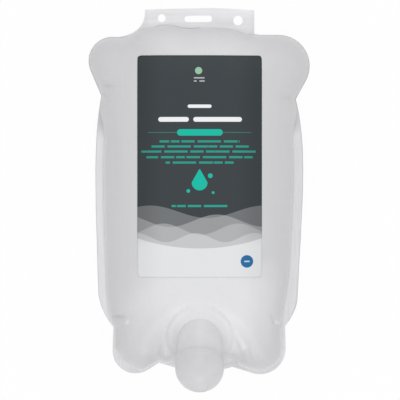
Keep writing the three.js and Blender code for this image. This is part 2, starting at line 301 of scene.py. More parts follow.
def pouch_edges(settings):
    """The film's edge, the line where it swells and the core's edge, in step, in metres."""
    outline = film_edge()
    run = np.concatenate([[0], np.cumsum(np.hypot(*np.diff(outline, axis=0).T))])
    at = np.linspace(0, run[-1], settings.around, endpoint=False)
    outer = np.stack([np.interp(at, run, outline[:, k]) for k in (0, 1)], 1)
    ahead = np.roll(outer, -2, 0) - np.roll(outer, 2, 0)
    inward = np.stack([-ahead[:, 1], ahead[:, 0]], 1) / np.hypot(*ahead.T)[:, None]
    seam = outer + inward * rim_width(outer)[:, None]
    heading = seam / np.hypot(*seam.T)[:, None]
    stretch = settings.around // 24
    mean = sum(np.roll(heading, k, 0) for k in range(-stretch, stretch + 1))
    size = np.abs(2 * mean / [CORE_WIDTH, CORE_LENGTH]) ** CORE_SQUARENESS
    core = mean / (size.sum(1) ** (1 / CORE_SQUARENESS))[:, None]
    return [line * MM + ORIGIN for line in (outer, seam, core)]


def depth_inside(points, edge):
    """Soft distance from each point to a closed edge: true near the edge, levelling off inside."""
    block_size, true_to, soft_from = 2000, 3 * MM, 8 * MM
    ahead = np.roll(edge, -1, 0)
    run = ahead - edge
    length = np.hypot(run[:, 0], run[:, 1])
    outward = np.stack([run[:, 1], -run[:, 0]], 1) / length[:, None]
    middle = (edge + ahead) / 2
    depths = []
    for block in np.array_split(points, max(1, len(points) // block_size)):
        gap = middle[None] - block[:, None]
        square = (gap**2).sum(2)
        facing = (gap * outward[None]).sum(2)
        total = np.maximum((facing * length[None] / square**2).sum(1), 1e-9)
        soft = (total / (math.pi / 2)) ** -0.5
        start = block[:, None] - edge[None]
        along = np.clip((start * run[None]).sum(2) / length[None] ** 2, 0, 1)
        near = np.sqrt(((start - along[..., None] * run[None]) ** 2).sum(2)).min(1)
        far = smooth(true_to, soft_from, near)
        depths.append(near * (1 - far) + soft * far)
    return np.concatenate(depths)


def swell(share):
    """How far the film has swollen, from 0 at its edge to 1 where it is level."""
    return np.sqrt(1 - (1 - np.minimum(share, 1)) ** 2)


# Creases of the front film, in mm: start, end, height at the start and width. Valleys are negative.
CREASES = [
    ((-87, 104), (-62, 101), -1.5, 2.6),
    ((-85, 110), (-66, 112), 0.7, 3.0),
    ((88, 92), (56, 94), -1.4, 3.0),
    ((86, 98), (62, 102), 0.7, 3.0),
    ((-60, 151), (-48, 138), -1.6, 2.6),
    ((52, 150), (30, 141), -1.6, 3.0),
    ((44, 152), (28, 146), 0.9, 2.0),
    ((-79, -104.5), (-58, -102.5), -2.4, 2.4),
    ((-65, -109), (-64.5, -99), 1.6, 1.9),
    ((66, -109), (63, -96), -2.2, 1.8),
    ((74, -111), (62, -106), 3.8, 2.2),
    ((-38, -147), (-46, -138), -3.0, 2.4),
    ((27, -150), (34, -128), -2.4, 2.6),
    ((39, -131), (29, -108), 2.2, 2.6),
    ((-34, -140), (-34, -110), -1.2, 1.8),
    ((-30.5, -138), (-30, -108), 1.0, 1.6),
]


def creases(points, depth):
    """Height that the creases add to the front film at each point, less near the seam."""
    total = np.zeros(len(points))
    local = (points - ORIGIN) / MM
    for start, end, height, width in CREASES:
        start, end = np.array(start, float), np.array(end, float)
        run = end - start
        along = np.clip(((local - start) @ run) / (run @ run), 0, 1)
        gap = np.hypot(*(local - start - along[:, None] * run).T)
        total += height * MM * (1 - along) * np.exp(-((gap / width) ** 2))
    return total * np.minimum(1, depth / (CREASE_DEPTH * MM))


def sway(points):
    """Height of the slow, shallow waves of the film over liquid, at each point."""
    x, y = ((points - ORIGIN) / MM).T
    wave = np.sin(x / 19 + 1.3 * np.sin(y / 41 + 0.4)) * np.sin(y / 27 + 1.1 * np.sin(x / 33 + 2.0))
    small = np.sin(x / 8.5 + 1.7 * np.sin(y / 13)) * np.sin(y / 10.5 + 1.5 * np.sin(x / 15 + 0.8))
    return (0.7 * wave + 0.16 * small) * MM


def puckers(around, depth):
    """Height of the short folds that run in from the weld, by place round the pouch and depth."""
    folds = np.sin(47 * around + 0.9) + 0.8 * np.sin(71 * around + 2.2 * np.sin(5 * around))
    folds = folds + 0.5 * np.sin(113 * around + 1.8 * np.sin(9 * around + 1.0))
    lively = 0.55 + 0.45 * np.sin(7 * around + 1.5 * np.sin(3 * around))
    inward = depth / MM
    return 0.3 * MM * folds * lively * smooth(0, 5, inward) * (1 - smooth(6, 22, inward))


def flange_place(settings):
    """Centre of the flange's underside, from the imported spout's box."""
    reach = settings.flange
    y = SPOUT_HIGH.y - reach * math.cos(settings.flange_tilt)
    z = SPOUT_LOW.z + reach * math.sin(settings.flange_tilt)
    return Vector((float(ORIGIN[0]), y, z))


def front_height(points, depth, pouch, spout):
    """Height of the front film at each point, over the soap and over the spout's flange."""
    body = pouch.seam + pouch.rise * swell(depth / pouch.shoulder)
    body = body + creases(points, depth)
    body = body + sway(points) * smooth(4 * MM, 30 * MM, depth)

    centre, lean = flange_place(spout), spout.flange_tilt
    cover = spout.flange_depth + FLANGE_GAP * MM
    across = points[:, 0] - centre.x
    along = (points[:, 1] - centre.y) / math.cos(lean) + cover * math.tan(lean)
    reach = np.hypot(across, along)
    level = centre.z + (points[:, 1] - centre.y) * math.tan(lean) + cover / math.cos(lean)
    step = FLANGE_STEP * MM * smooth(spout.flange - 0.4 * MM, spout.flange + 0.8 * MM, reach)

    # The neck meets the flange in an oval, where the film runs up to it in a soft collar.
    root = spout.neck / math.cos(spout.tilt - lean)
    aside = np.hypot(across / spout.neck, (along + spout.offset + MM) / root) - 1
    outward = np.maximum(0, aside * spout.neck)
    collar = COLLAR_HEIGHT * MM * np.exp(-((outward / (COLLAR_WIDTH * MM)) ** 1.5))
    away = smooth(spout.flange, spout.flange + FLANGE_JOIN * MM, reach)
    away = np.maximum(away, 1 - smooth(0, 8 * MM, depth))
    return (level - step + collar) * (1 - away) + body * away


def back_height(depth, pouch):
    """Height of the back film, which lies flat on the table over the middle of the pouch."""
    shoulder, press = 0.8 * pouch.shoulder, 1.06
    return pouch.seam * (1 - np.minimum(1, press * swell(depth / shoulder)))


def clear_selection():
    """Nothing is selected or active afterwards."""
    bpy.ops.object.select_all(action="DESELECT")
    bpy.context.view_layer.objects.active = None


def pick(piece):
    """One piece alone is selected and active afterwards."""
    clear_selection()
    piece.select_set(True)
    bpy.context.view_layer.objects.active = piece


def shade(piece, degrees=40):
    """Shades a piece smooth except over edges sharper than an angle."""
    pick(piece)
    bpy.ops.object.shade_smooth_by_angle(angle=math.radians(degrees))
    clear_selection()


def piece_from(name, vertices, faces):
    """A new mesh object from points and faces, shaded smooth."""
    mesh = bpy.data.meshes.new(name)
    mesh.from_pydata([tuple(v) for v in vertices], [], faces)
    mesh.validate()
    mesh.polygons.foreach_set("use_smooth", [True] * len(mesh.polygons))
    piece = bpy.data.objects.new(name, mesh)
    bpy.context.collection.objects.link(piece)
    return piece


def adopt(piece, slot, *nodes):
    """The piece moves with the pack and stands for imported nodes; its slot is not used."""
    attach(piece, "root")
    if nodes:
        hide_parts(*nodes)


def ring_faces(first, second, count):
    """Quads between two rings of points, given the index of each ring's first point."""
    following = [(k + 1) % count for k in range(count)]
    return [(first + k, first + n, second + n, second + k) for k, n in enumerate(following)]


def make_pouch(pouch, spout):
    """The filled film pouch as one closed mesh: front film, welded rim and back film."""
    edge, seam, core = pouch_edges(pouch)
    count = pouch.around
    around = np.linspace(0, 2 * math.pi, count, endpoint=False)
    middle = pouch.seam * np.ones(count)
    shares = np.sin(np.linspace(0, math.pi / 2, FRONT_RINGS + 1)[1:])
    rings, depths, folds = [], [], []

    def add_ring(share, height_at):
        flat = ORIGIN + ((core - ORIGIN) + (seam - core) * share**4) * share
        depth = depth_inside(flat, seam) if share < 1 else np.zeros(count)
        rings.append(np.column_stack([flat, height_at(flat, depth)]))
        depths.append(depth)
        folds.append(creases(flat, depth) if height_at is front else 0 * depth)

    def front(flat, depth):
        height = front_height(flat, depth, pouch, spout) + puckers(around, depth)
        return np.maximum(height, pouch.seam + pouch.weld / 2)

    def back(flat, depth):
        height = back_height(depth, pouch) - puckers(around + 0.3, depth)
        return np.clip(height, 0, pouch.seam - pouch.weld / 2)

    for share in shares:
        add_ring(share, front)
    curl = 0.9 * np.sin(9 * around + 0.6) + 0.6 * np.sin(23 * around + 2.0) + 0.3 * np.sin(47 * around)
    wide = np.minimum(1, np.hypot(*(edge - seam).T) / (CURL_WIDTH * MM))
    for side in (1, -1):
        for share in RIM_RINGS[::side]:
            height = middle + side * pouch.weld / 2 + curl * share**2 * wide * MM
            rings.append(np.column_stack([seam + (edge - seam) * share, height]))
            depths.append(-share * wide * CURL_WIDTH * MM)
            folds.append(0 * wide)
    for share in shares[::-2]:
        add_ring(share, back)

    pole_depth = 80 * MM
    poles = [[*ORIGIN, rings[0][:, 2].mean()], [*ORIGIN, 0.0]]
    vertices = np.vstack([*rings, poles])
    faces = []
    for k in range(len(rings) - 1):
        faces += ring_faces((k + 1) * count, k * count, count)
    last = (len(rings) - 1) * count
    for k in range(count):
        following = (k + 1) % count
        faces.append((last + count, k, following))
        faces.append((last + count + 1, last + following, last + k))
    piece = piece_from("pouch_film", vertices, faces)
    for name, values, pole in (("depth", depths, pole_depth), ("fold", folds, 0.0)):
        attribute = piece.data.attributes.new(name, "FLOAT", "POINT")
        attribute.data.foreach_set("value", np.concatenate(values + [[pole, pole]]))
    return piece


def label_mesh(pouch, spout, label):
    """A thin skin that follows the front film inside the label's outline, with its own UV in mm."""
    low, high = LABEL_LOW, LABEL_HIGH
    columns, rows, corner = LABEL_COLUMNS, LABEL_ROWS, label.corner
    width, height = high.x - low.x, high.y - low.y
    middle = np.array([(low.x + high.x) / 2, (low.y + high.y) / 2])
    side = np.linspace(-0.5, 0.5, columns + 1)
    up = np.linspace(-0.5, 0.5, rows + 1)
    flat = np.array([(x * width, y * height) for y in up for x in side])
    inner = np.array([width / 2 - corner, height / 2 - corner])
    beyond = np.maximum(np.abs(flat) - inner, 0)
    both = (beyond > 0).all(1)
    reach = np.hypot(*beyond.T)
    square = beyond.max(1)
    scale = np.where(both & (reach > 0), square / np.maximum(reach, 1e-12), 1)
    flat = np.sign(flat) * (np.minimum(np.abs(flat), inner) + beyond * scale[:, None])
    _, seam, _ = pouch_edges(pouch)
    place = flat + middle
    level = front_height(place, depth_inside(place, seam), pouch, spout) + LABEL_GAP * MM
    vertices = np.column_stack([place, level])
    stride = columns + 1
    faces = [
        (r * stride + c, r * stride + c + 1, (r + 1) * stride + c + 1, (r + 1) * stride + c)
        for r in range(rows)
        for c in range(columns)
    ]
    piece = piece_from("front_label", vertices, faces)
    layer = piece.data.uv_layers.new(name="print")
    print_place = (flat - [0, -height / 2]) / MM
    corners = np.array([loop.vertex_index for loop in piece.data.loops])
    layer.data.foreach_set("uv", print_place[corners].ravel())
    solid = piece.modifiers.new("thickness", "SOLIDIFY")
    solid.thickness, solid.offset = label.thickness, 1.0
    apply_modifiers(piece)
    return piece


def apply_modifiers(piece):
    """Applies every modifier of a piece in order."""
    pick(piece)
    for modifier in list(piece.modifiers):
        bpy.ops.object.modifier_apply(modifier=modifier.name)
    clear_selection()


def settle(piece, name, matrix=None):
    """Puts a piece's place into its mesh, with its object at the origin, and names it."""
    piece.name = piece.data.name = name
    if matrix is not None:
        piece.matrix_world = matrix @ piece.matrix_world
    pick(piece)
    bpy.ops.object.transform_apply(location=True, rotation=True, scale=True)
    clear_selection()
    return piece


def cut(piece, cutter, operation="DIFFERENCE"):
    """Cuts or joins one piece with another, which is then removed."""
    change = piece.modifiers.new("change", "BOOLEAN")
    change.operation, change.object, change.solver = operation, cutter, "EXACT"
    apply_modifiers(piece)
    bpy.data.objects.remove(cutter, do_unlink=True)


def cylinder(radius, low, high, matrix, sides=ROUND_SIDES):
    """A closed cylinder along the Z axis of a matrix."""
    clear_selection()
    bpy.ops.mesh.primitive_cylinder_add(
        vertices=sides, radius=radius, depth=high - low, location=(0, 0, (low + high) / 2)
    )
    made = bpy.context.object
    return settle(made, "cylinder", matrix)


def round_edges(piece, width, segments, sharp=40):
    """Rounds a piece's sharp edges and shades it smooth between them."""
    bevel = piece.modifiers.new("round", "BEVEL")
    bevel.width, bevel.segments = width, segments
    bevel.limit_method, bevel.angle_limit = "ANGLE", math.radians(sharp)
    piece.modifiers.new("weld", "WELD").merge_threshold = 0.01 * MM
    apply_modifiers(piece)
    shade(piece, sharp)


def spout_frames(spout):
    """The flange's and the neck's own frames, as matrices."""
    flange = Matrix.Translation(flange_place(spout)) @ Matrix.Rotation(spout.flange_tilt, 4, "X")
    root = flange @ Vector((0, -spout.offset, 0))
    neck = Matrix.Translation(root) @ Matrix.Rotation(spout.tilt, 4, "X")
    return flange, neck


def make_spout(spout):
    """The moulded spout: a round flange and a leaning neck with a bore through both."""
    flange, neck = spout_frames(spout)
    piece = cylinder(spout.flange, 0, spout.flange_depth, flange)
    tube = cylinder(spout.neck, -spout.length, spout.length, neck)
    keep = cylinder(3 * spout.flange, 0, 4 * spout.length, flange)
    cut(tube, keep, "INTERSECT")
    cut(piece, tube, "UNION")
    cut(piece, cylinder(spout.neck - spout.wall, -2 * spout.length, 2 * spout.length, neck))
    round_edges(piece, 0.35 * MM, 2)
    return settle(piece, "spout_moulding")


def make_closure(spout):
    """The domed closure, with a skirt and its lip, and a flat seal where the dome would peak."""
    _, neck = spout_frames(spout)
    radius, seal, deep = spout.cap, SEAL_RADIUS * MM, SEAL_DEPTH * MM
    edge = spout.length - spout.skirt
    turns = np.linspace(0, math.pi / 2 - math.asin(seal / radius), 28)
    lip = radius + LIP_OUT * MM
    profile = [(lip, edge), (lip, edge + spout.lip), (radius, edge + spout.lip)]
    profile += [(radius * math.cos(a), spout.length + radius * math.sin(a)) for a in turns]
    top = profile[-1][1]
    profile += [(seal - 0.8 * MM, top), (seal - 1.2 * MM, top - deep), (0.0, top - deep)]
    clear_selection()
    bpy.ops.mesh.primitive_circle_add(vertices=3, radius=MM)
    piece = bpy.context.object
    shape = bmesh.new()
    line = [shape.verts.new((r, 0, z)) for r, z in profile]
    for a, b in zip(line, line[1:]):
        shape.edges.new((a, b))
    shape.to_mesh(piece.data)
    shape.free()
    bpy.ops.object.mode_set(mode="EDIT")
    bpy.ops.mesh.select_all(action="SELECT")
    bpy.ops.mesh.spin(steps=ROUND_SIDES, angle=2 * math.pi, center=(0, 0, 0), axis=(0, 0, 1))
    bpy.ops.mesh.select_all(action="SELECT")
    bpy.ops.mesh.remove_doubles(threshold=1e-6)
    bpy.ops.mesh.normals_make_consistent(inside=False)
    bpy.ops.object.mode_set(mode="OBJECT")
    wall = piece.modifiers.new("wall", "SOLIDIFY")
    wall.thickness, wall.offset, wall.use_even_offset = CLOSURE_WALL * MM, -1, True
    apply_modifiers(piece)
    round_edges(piece, 0.25 * MM, 2, 35)
    return settle(piece, "closure_dome", neck)


def tab_waves(x, y):
    """Height of the tab's waves and crimped weld, and the stray of its top edge, all in mm."""
    free = smooth(150, 172, y)
    wave = 0.8 * np.sin(x / 13 + 0.5 + y / 30) + 0.3 * np.sin(x / 6.1 + 1.4 - y / 17)
    crimp = 0.16 * np.sin(y / 1.9 + 1.2 * np.sin(x / 11) + x / 23)
    lift = wave * (0.25 + free) + crimp + 1.2 * free * np.sin(x / 34 + 0.8)
    uneven = 0.25 * np.sin(x / 22 + 2.2) + 0.15 * np.sin(x / 9)
    crown = 1.3 * (1 - (x / 52) ** 2)
    return lift, (uneven + crown - 0.2) * smooth(164, 174, y)


def make_tab(pouch):
    """The hanging tab: thin welded film with two round holes and a slot, a little wavy."""
    half, top, bottom = TAB_HALF * MM, TAB_TOP * MM, TAB_START * MM
    reach, shoulder, foot = TAB_REACH * MM, TAB_SHOULDER * MM, TAB_FOOT * MM
    clear_selection()
    bpy.ops.mesh.primitive_grid_add(x_subdivisions=122, y_subdivisions=42, size=1)
    tab = bpy.context.object
    left, right = -half - reach, half
    tab.dimensions = (right - left, top - bottom, 0)
    tab.location = ((left + right) / 2, (top + bottom) / 2, 0)
    settle(tab, "hanging_tab")
    thick = tab.modifiers.new("film", "SOLIDIFY")
    thick.thickness, thick.offset = TAB_FILM * MM, 0
    apply_modifiers(tab)

    for across, drop, diameter in TAB_HOLES:
        hole = Matrix.Translation((across * MM, top - drop * MM, 0))
        cut(tab, cylinder(diameter / 2 * MM, -MM, MM, hole, HOLE_SIDES))
    middle = Vector((SLOT_ACROSS * MM, top - SLOT_DROP * MM, 0))
    cut(tab, slot_cutter(middle, SLOT_LENGTH * MM, SLOT_WIDTH * MM))
    cut(tab, shoulder_cutter(half, foot, reach, shoulder))
    points = np.empty(len(tab.data.vertices) * 3)
    tab.data.vertices.foreach_get("co", points)
    points = points.reshape(-1, 3)
    lift, stray = tab_waves(*(points[:, :2] / MM).T)
    points[:, 2] += pouch.seam + lift * MM
    points[:, 1] += stray * MM
    points[:, :2] += ORIGIN
    tab.data.vertices.foreach_set("co", points.ravel())
    tab.data.update()
    shade(tab)
    return tab


def slot_cutter(centre, length, width):
    """A bar with round ends through the tab."""
    clear_selection()
    bpy.ops.mesh.primitive_cylinder_add(vertices=HOLE_SIDES, radius=width / 2, depth=2 * MM)
    cutter = bpy.context.object
    for vertex in cutter.data.vertices:
        if abs(vertex.co.x) > 1e-6:
            vertex.co.x += math.copysign((length - width) / 2, vertex.co.x)
    cutter.location = centre
    return settle(cutter, "slot")


def shoulder_cutter(half, foot, reach, shoulder):
    """Everything outside the tab's left shoulder, which curves inwards."""
    lean = (-half - 1.5 * MM, foot + 3.5 * MM)
    curve = bezier((-half, foot + shoulder), lean, (-half - reach, foot))
    outline = [(x, y) for x, y in curve]
    outline += [(-half - 2 * reach, foot), (-half - 2 * reach, foot + 60 * MM), (-half, foot + 60 * MM)]
    count = len(outline)
    vertices = [(x, y, z) for z in (-MM, MM) for x, y in outline]
    faces = [tuple(range(count, 2 * count)), tuple(range(count))[::-1]]
    faces += [(k, (k + 1) % count, count + (k + 1) % count, count + k) for k in range(count)]
    cutter = piece_from("shoulder", vertices, faces)
    pick(cutter)
    bpy.ops.object.mode_set(mode="EDIT")
    bpy.ops.mesh.select_all(action="SELECT")
    bpy.ops.mesh.normals_make_consistent(inside=False)
    bpy.ops.object.mode_set(mode="OBJECT")
    clear_selection()
    return cutter


PER_METRE = 1000.0


class Wire:
    """A socket in a material. Arithmetic on it adds the nodes that work it out."""

    def __init__(self, tree, socket):
        self.tree, self.socket = tree, socket

    def node(self, kind, inputs, output=0, **settings):
        """Adds a node of a kind with its settings, then the values or wires of its sockets."""
        made = self.tree.nodes.new(kind)
        for name, value in settings.items():
            setattr(made, name, value)
        for key, value in inputs.items():
            if isinstance(value, Wire):
                self.tree.links.new(value.socket, made.inputs[key])
            else:
                made.inputs[key].default_value = value
        return Wire(self.tree, made.outputs[output])

    def maths(self, operation, *values):
        return self.node("ShaderNodeMath", dict(enumerate(values)), operation=operation)

    def __add__(self, other):
        return self.maths("ADD", self, other)

    def __sub__(self, other):
        return self.maths("SUBTRACT", self, other)

    def __rsub__(self, other):
        return self.maths("SUBTRACT", other, self)

    def __mul__(self, other):
        return self.maths("MULTIPLY", self, other)

    def __truediv__(self, other):
        return self.maths("DIVIDE", self, other)

    __radd__, __rmul__ = __add__, __mul__

    def __abs__(self):
        return self.maths("ABSOLUTE", self)

    def largest(self, other):
        return self.maths("MAXIMUM", self, other)

    def smallest(self, other):
        return self.maths("MINIMUM", self, other)

    def sine(self):
        return self.maths("SINE", self)

    def root(self):
        return self.maths("SQRT", self)

    def steps(self, low, high, start=0.0, end=1.0):
        """A smooth step from start to end as this goes from low to high."""
        inputs = {0: self, 1: low, 2: high, 3: start, 4: end}
        return self.node("ShaderNodeMapRange", inputs, interpolation_type="SMOOTHSTEP")

    def between(self, first, second):
        """The colour that lies this share of the way from the first colour to the second."""
        return self.node("ShaderNodeMix", {0: self, 6: first, 7: second}, 2, data_type="RGBA")


def colour(value, share=1.0):
    """A colour, dimmed or lifted by a share, as the four numbers of a colour socket."""
    return (*(c * share for c in value[:3]), 1.0)


class Finish:
    """A new material on a piece, with its shader and the wires that its maths starts from."""

    def __init__(self, name, piece):
        self.material = bpy.data.materials.new(name)
        self.material.use_nodes = True
        self.tree = self.material.node_tree
        self.shader = self.tree.nodes["Principled BSDF"]
        self.start = Wire(self.tree, None)
        piece.data.materials.clear()
        piece.data.materials.append(self.material)

    def place(self):
        """Object coordinates, in mm."""
        raw = self.start.node("ShaderNodeTexCoord", {}, 3)
        return self.start.node("ShaderNodeVectorMath", {0: raw, 3: PER_METRE}, operation="SCALE")

    def measure(self, name):
        """A length that the mesh holds at each point under a name, in mm."""
        return self.start.node("ShaderNodeAttribute", {}, 2, attribute_name=name) * PER_METRE

    def stretched(self, vector, factors):
        """A place stretched along the axes with small factors."""
        return self.start.node("ShaderNodeVectorMath", {0: vector, 1: factors}, operation="MULTIPLY")

    def parts(self, vector):
        """The three numbers of a vector."""
        made = self.tree.nodes.new("ShaderNodeSeparateXYZ")
        self.tree.links.new(vector.socket, made.inputs[0])
        return [Wire(self.tree, made.outputs[k]) for k in range(3)]

    def noise(self, vector, scale, detail=3.0):
        """Soft noise from 0 to 1, with scale as its features in a millimetre."""
        inputs = {"Vector": vector, "Scale": scale, "Detail": detail}
        return self.start.node("ShaderNodeTexNoise", inputs)

    def bump(self, height, strength, distance):
        """A normal that follows a height, which is at most the distance in metres."""
        inputs = {"Height": height, "Strength": strength, "Distance": distance}
        return self.start.node("ShaderNodeBump", inputs)

    def set(self, **values):
        """Sets the shader's sockets by name, with underscores for spaces."""
        for name, value in values.items():
            socket = self.shader.inputs[name.replace("_", " ")]
            if isinstance(value, Wire):
                self.tree.links.new(value.socket, socket)
            else:
                socket.default_value = value


def film_finish(piece, pouch):
    """Milky film: soft gloss, with painted light that makes it paler over its middle, over the flange and
    under the tab; plain where it is welded.
    """
    finish = Finish("milky_film", piece)
    place = finish.place()
    x, y, _ = finish.parts(place)
    x, y = x - float(ORIGIN[0]) / MM, y - float(ORIGIN[1]) / MM
    depth, fold = finish.measure("depth"), finish.measure("fold")
    cloud = finish.noise(place, 0.035, 3.0)
    drift = (cloud - 0.5) * 22.0

    def patch(centre, half, soft):
        """1 inside an oval on the film, in mm, with an uneven soft edge."""
        across = (x - centre[0] + drift) / half[0]
        along = (y - centre[1] + drift) / half[1]
        return (across * across + along * along).root().steps(1 - soft, 1 + soft, 1.0, 0.0)

    # Painted light: paler over the flange, less so on its left, under the tab and where the pouch is
    # deepest.
    spout_side = patch((3, -90), (57, 53), 0.5) * (1 - patch((-36, -126), (15, 24), 0.6) * 0.45)
    tab_side = patch((4, 146), (52, 26), 0.5) * 0.5
    deep = depth.steps(0.0, 45.0) * 0.22
    streak = finish.noise(finish.stretched(place, (1.0, 0.05, 1.0)), 0.3, 3.0)
    pale = spout_side.largest(tab_side).largest(deep) * depth.steps(2.0, 14.0)
    pale = pale + (streak - 0.5) * 0.2
    full = pale.between(colour(pouch.film), colour(pouch.lit_film))

    # Ridges catch the light and valleys hold less of it.
    ridge, valley = fold.steps(0.2, 1.8) * 0.6, fold.steps(-2.4, -0.3, 1.0, 0.0) * 0.6
    full = ridge.between(full, colour(pouch.lit_film, 1.13))
    full = valley.between(full, colour(pouch.film, 0.7))

    # The rim is pale where it is plain weld, and duller at the top, on the right and in threads.
    soap = depth.steps(-0.4, 3.2)
    thread = finish.noise(finish.stretched(place, (1.0, 0.03, 1.0)), 0.7, 2.0)
    dull = y.steps(52.0, 74.0).largest(thread.steps(0.45, 0.75) * 0.3 + x.steps(40.0, 88.0) * 0.2 + 0.1)
    rim = dull.between(colour(pouch.weld_colour), colour(pouch.film))
    tone = soap.between(rim, full)
    # Painted shade: a thin darker line along the rim's outer edge.
    rim_edge_shade = depth.steps(-6.0, -5.5, 0.9, 0.0)
    tone = rim_edge_shade.between(tone, colour(pouch.film, 0.88))
    creep = finish.noise(place, 0.06, 3.0)
    height = streak * 0.4 + creep
    finish.set(
        Base_Color=tone,
        Roughness=cloud.steps(0.2, 0.8, 0.30, 0.42),
        Normal=finish.bump(height, 0.25, 0.0006),
        IOR=1.5,
    )
    finish.set(Subsurface_Weight=0.1, Subsurface_Radius=(0.004, 0.004, 0.004))


def tab_finish(piece, pouch):
    """Welded film of the tab: thin enough to let light through, with streaks across the weld."""
    finish = Finish("welded_film", piece)
    place = finish.place()
    drift = finish.noise(place, 0.05, 2.0)
    along = finish.noise(finish.stretched(place, (0.07, 1.0, 1.0)), 0.45, 3.0)
    down = finish.noise(finish.stretched(place, (1.0, 0.06, 1.0)), 0.5, 3.0)
    streak = along * 0.6 + down * 0.25 - drift * 0.25
    weld = pouch.weld_colour
    tone = streak.steps(0.15, 0.46).between(colour(weld, 1.02), colour(weld, 1.08))
    x, _, _ = finish.parts(place)
    end = abs(x - float(ORIGIN[0]) / MM).steps(44.0, 49.5) * 0.4
    tone = end.between(tone, colour(weld, 0.88))
    finish.set(
        Base_Color=tone,
        Roughness=along.steps(0.3, 0.7, 0.28, 0.38),
        Normal=finish.bump(streak, 0.2, 0.0005),
        IOR=1.5,
    )


def plastic_finish(piece, base, name):
    """Milky moulded plastic, smooth, with a faint unevenness."""
    finish = Finish(name, piece)
    place = finish.place()
    cloud = finish.noise(place, 0.09, 2.0)
    tone = cloud.steps(0.3, 0.7).between(colour(base, 0.985), colour(base, 1.015))
    scuff = finish.noise(place, 1.6, 3.0)
    finish.set(
        Base_Color=tone,
        Roughness=scuff.steps(0.3, 0.7, 0.34, 0.42),
        Normal=finish.bump(cloud + scuff * 0.06, 0.1, 0.0004),
        IOR=1.5,
        Specular_IOR_Level=0.35,
    )
    finish.set(Subsurface_Weight=0.15, Subsurface_Radius=(0.003, 0.003, 0.003))


# Half the width of a printed edge, in mm.
SOFT = 0.22

# Where slate meets white on the label: the height at its middle, and how it curves.
EDGE_HEIGHT, EDGE_CURVE = 26.0, 0.0029

# Printed waves, in mm: level, crest, turn for each mm across, start of the turn and share of white.
WAVES = (
    (58.5, 5.5, 0.062, 4.3, 0.17),
    (50.5, 5.5, 0.075, 0.4, 0.25),
    (43.0, 5.0, 0.095, 4.6, 0.27),
    (35.5, 4.0, 0.12, 2.0, 0.40),
)

# Wide bars, in mm: left, right, height and thickness.
WIDE_BARS = ((-10.6, 10.6, 152.3, 3.0), (-36.7, -9.6, 140.6, 4.2), (-5.6, 37.6, 140.6, 4.2))

# Broken bars, in mm: height, half the length, and where their breaks start.
BROKEN_BARS = (
    (121.0, 35.8, 0.3), (116.5, 43.9, 1.7), (112.0, 52.0, 2.9), (107.0, 47.5, 4.1), (102.2, 30.4, 5.5)
)
BROKEN_THICK = 1.9

# The drop's height, length above its middle and radius, and its dots: place and radius, in mm.
DROP_HEIGHT, DROP_LENGTH, DROP_RADIUS = 84.5, 12.5, 7.0
DOTS = ((9.5, 90.5, 2.1), (-10.0, 77.0, 1.6), (12.0, 75.5, 1.2))


def bar(u, v, left, right, height, thick):
    """Mask of a bar with round ends on the label, in mm."""
    radius = thick / 2
    aside = (abs(u - (left + right) / 2) - ((right - left) / 2 - radius)).largest(0.0)
    above = v - height
    gap = (aside * aside + above * above).root()
    return gap.steps(radius - SOFT, radius + SOFT, 1.0, 0.0)


def spot(u, v, x, y, radius):
    """Mask of a disc on the label, in mm."""
    aside, above = u - x, v - y
    return (aside * aside + above * above).root().steps(radius - SOFT, radius + SOFT, 1.0, 0.0)


def stretches(u, phase):
    """Mask that breaks a bar into stretches of uneven length."""
    wave = (u * 0.52 + phase).sine() + (u * 0.83 + 2.3 * phase).sine() * 0.7
    return wave.steps(-1.25, -0.95)


